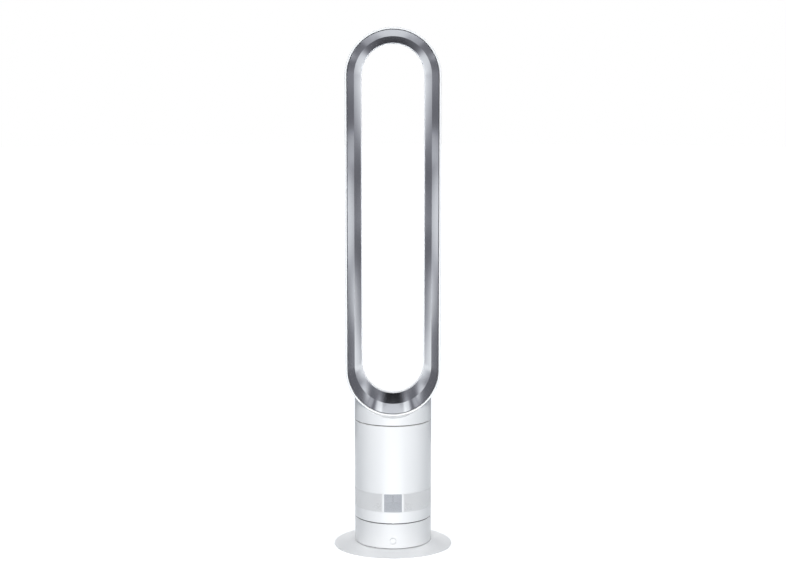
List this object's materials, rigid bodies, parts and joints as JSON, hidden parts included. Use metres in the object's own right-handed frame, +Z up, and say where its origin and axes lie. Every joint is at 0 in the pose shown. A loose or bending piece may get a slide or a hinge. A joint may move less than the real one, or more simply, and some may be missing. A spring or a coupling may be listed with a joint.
{
  "type": "tower fan",
  "caption": "Bladeless tower fan: tall oval air loop with silver inner nozzle on a white swivelling cylinder, perforated intake band, button base and round disc foot.",
  "frame": {"origin": "on the floor, under the middle of the round foot", "axes": "+Z up the tower, -Y out of the front of the loop, +X to the right seen from the front"},
  "size_m": [0.23, 0.23, 1.007],
  "materials": {
    "white_shell": "smooth satin-gloss white moulding",
    "silver_coat": "smooth metallic silver coat",
    "intake_grey": "fine perforated pale grey",
    "dark_plastic": "moulded black",
    "acetal": "natural low-friction moulding",
    "rubber": "soft matt",
    "steel": "plated",
    "ballast_iron": "blackened plate",
    "circuit_board": "green solder mask",
    "foam": "open-cell foam"
  },
  "bodies": {
    "root": {"base_disc": "white_shell", "ballast_plate": "ballast_iron", "foot_ring": "rubber", "base_housing": "white_shell", "base_chassis": "dark_plastic", "base_screw_1": "steel", "base_screw_2": "steel", "base_screw_3": "steel", "bearing_ring": "acetal", "pivot_tube": "steel", "retaining_clip": "steel", "oscillation_motor": "steel", "drive_screw_1": "steel", "drive_screw_2": "steel", "control_board": "circuit_board", "board_lead": "rubber", "switch_board": "circuit_board", "power_switch": "dark_plastic", "infrared_receiver": "dark_plastic", "cord_gland": "rubber"},
    "pinion": {"oscillation_pinion": "acetal", "pinion_shaft": "steel"},
    "button": {"power_button": "white_shell", "switch_plunger": "acetal"},
    "swivel": {"turntable": "dark_plastic", "gear_sector": "acetal", "gear_screw_1": "steel", "gear_screw_2": "steel", "body_casing": "white_shell", "casing_screw_1": "steel", "casing_screw_2": "steel", "casing_screw_3": "steel", "intake_grille": "intake_grey", "acoustic_foam": "foam", "inlet_seal": "rubber", "impeller_housing": "dark_plastic", "diffuser": "dark_plastic", "fan_motor": "steel", "motor_driver_board": "circuit_board", "nose_cone": "dark_plastic", "suspension_mount_1": "rubber", "suspension_mount_2": "rubber", "suspension_mount_3": "rubber", "outlet_gaiter": "rubber", "bayonet_socket": "acetal", "motor_lead": "rubber"},
    "impeller": {"impeller": "dark_plastic", "motor_shaft": "steel", "impeller_nut": "steel"},
    "loop": {"bayonet_ring": "acetal", "ring_screw_1": "steel", "ring_screw_2": "steel", "ring_screw_3": "steel", "loop_seal": "rubber", "loop_collar": "white_shell", "loop_shell": "white_shell", "loop_nozzle": "silver_coat"}
  },
  "joints": [
    {"name": "oscillation", "type": "hinge", "parent": "root", "child": "swivel", "pos_m": [0, 0, 0.052], "axis": [0, 0, 1], "range_deg": [-35, 35]},
    {"name": "pinion_spin", "type": "hinge", "parent": "root", "child": "pinion", "pos_m": [-0.036, 0, 0.049], "axis": [0, 0, 1], "range_deg": [-123, 123]},
    {"name": "power_press", "type": "slide", "parent": "root", "child": "button", "axis": [0, 1, 0], "range_m": [0, 0.0008], "stiffness_N_per_m": 1500},
    {"name": "impeller_spin", "type": "hinge", "parent": "swivel", "child": "impeller", "pos_m": [0, 0, 0.147], "axis": [0, 0, 1], "continuous": true},
    {"name": "loop_twist", "type": "hinge", "parent": "swivel", "child": "loop", "pos_m": [0, 0, 0.247], "axis": [0, 0, 1], "range_deg": [0, 22]}
  ],
  "couplings": [
    {"joint": "pinion_spin", "follows": "oscillation", "ratio": -3.5}
  ]
}
